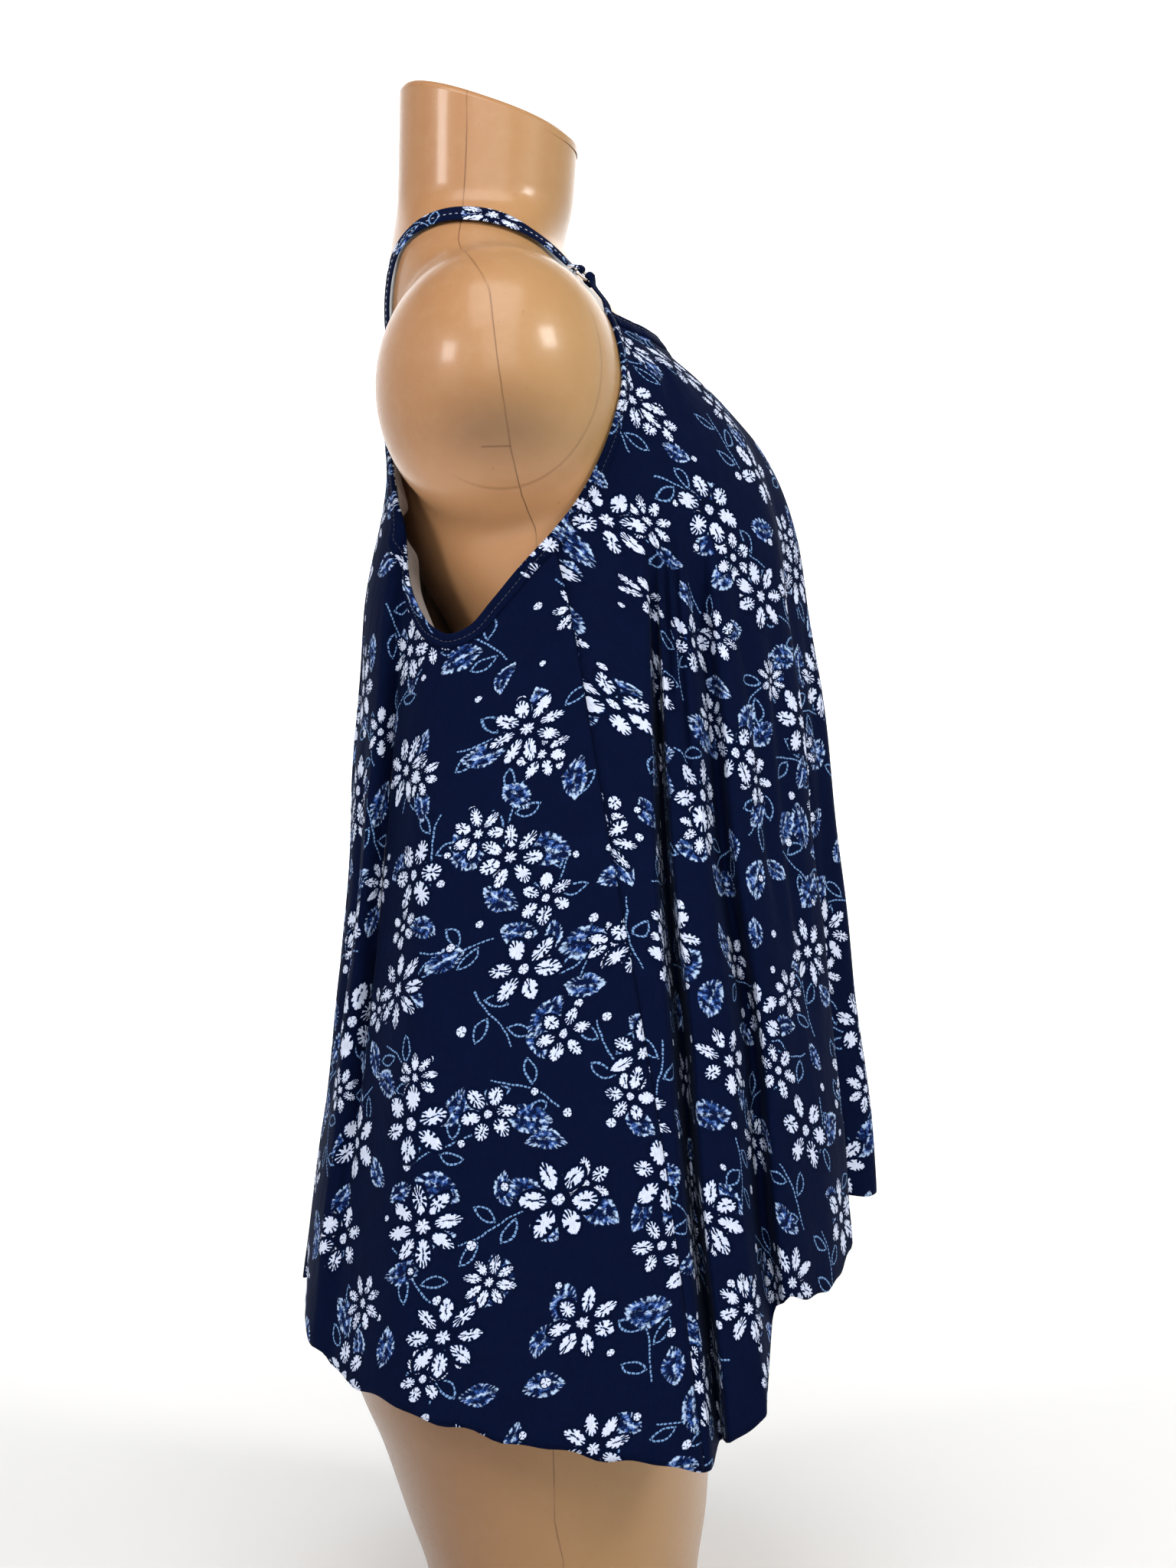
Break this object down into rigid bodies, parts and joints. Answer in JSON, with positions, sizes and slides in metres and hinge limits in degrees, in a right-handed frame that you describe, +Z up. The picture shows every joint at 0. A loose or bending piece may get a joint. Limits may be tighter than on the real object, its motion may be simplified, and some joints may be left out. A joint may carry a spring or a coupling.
{
  "type": "sleeveless swing blouse on a limbless dress form",
  "caption": "Loose sleeveless swing blouse with narrow ringed straps, deep armholes and a side-dipping raw hem, worn by a plain limbless dress form.",
  "frame": {"origin": "centre of the dress form's flat base, where it stands", "axes": "+Z up; -Y is the wearer's front; -X is the wearer's right"},
  "size_m": [0.4756, 0.3444, 0.9428],
  "materials": {
    "printed_jersey": "soft navy knit jersey with a printed pattern of pale flowers and blue leaves; pale grey wrong side",
    "band_jersey": "doubled navy jersey",
    "strap_jersey": "narrow printed jersey strap, topstitched",
    "ring_metal": "bright plated wire",
    "form_plastic": "warm tan moulded plastic, satin gloss with faint mould seams"
  },
  "bodies": {
    "root": {"front": "printed_jersey", "back": "printed_jersey", "armhole_band_right": "band_jersey", "armhole_band_left": "band_jersey", "neck_band_front": "band_jersey", "neck_band_back": "band_jersey", "strap_right": "strap_jersey", "strap_left": "strap_jersey", "tab_right": "strap_jersey", "tab_left": "strap_jersey", "ring_right": "ring_metal", "ring_left": "ring_metal", "dress_form": "form_plastic"}
  },
  "joints": []
}
